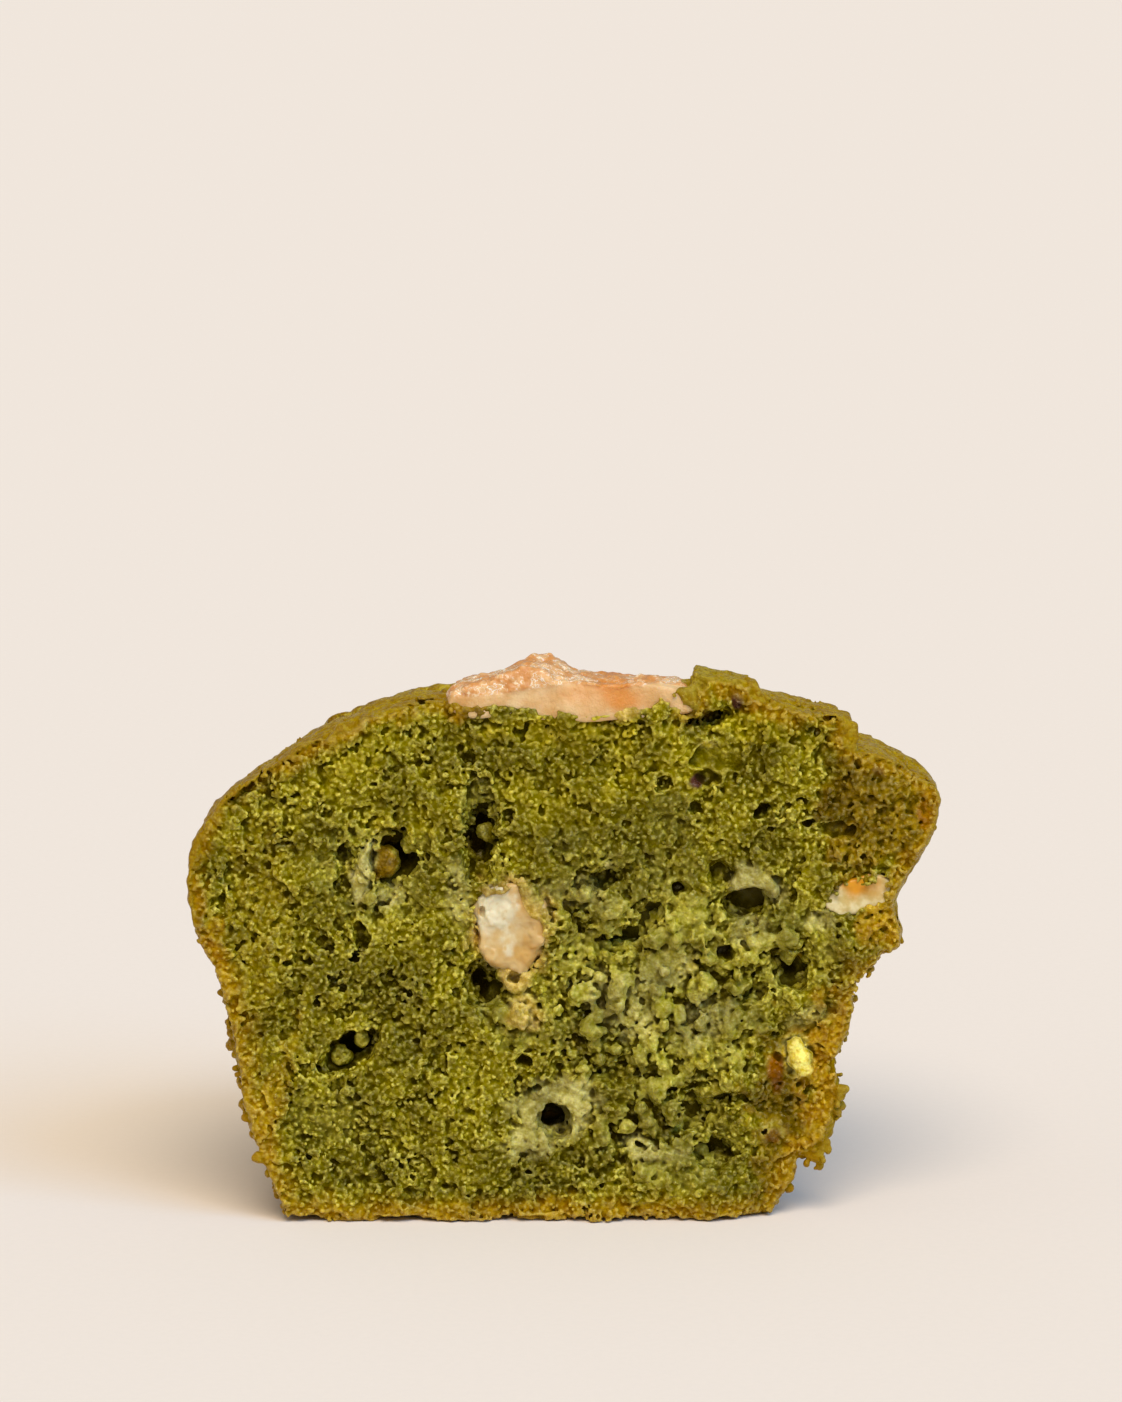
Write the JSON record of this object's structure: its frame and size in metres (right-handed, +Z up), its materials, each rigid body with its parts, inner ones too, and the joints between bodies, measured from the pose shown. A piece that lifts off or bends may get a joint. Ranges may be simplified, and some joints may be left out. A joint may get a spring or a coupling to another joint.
{
  "type": "muffin half",
  "caption": "Half of a green tea muffin cut from top to bottom, with an overhanging domed top, open crumb and pieces of white chocolate.",
  "frame": {"origin": "centre of the flat round base, on the axis of the whole muffin that the half was cut from", "axes": "+Z up, the cut face looks along -Y, +X to the right as the cut face is seen"},
  "size_m": [0.0749, 0.0413, 0.0565],
  "materials": {
    "sponge": "matt, moist green crumb with a golden brown crust",
    "toasted_chocolate": "satin, toasted skin with small blisters",
    "white_chocolate": "satin, creamy"
  },
  "bodies": {
    "root": {"sponge": "sponge", "top_chunk": "toasted_chocolate", "middle_chunk": "white_chocolate", "side_chunk": "white_chocolate"}
  },
  "joints": []
}
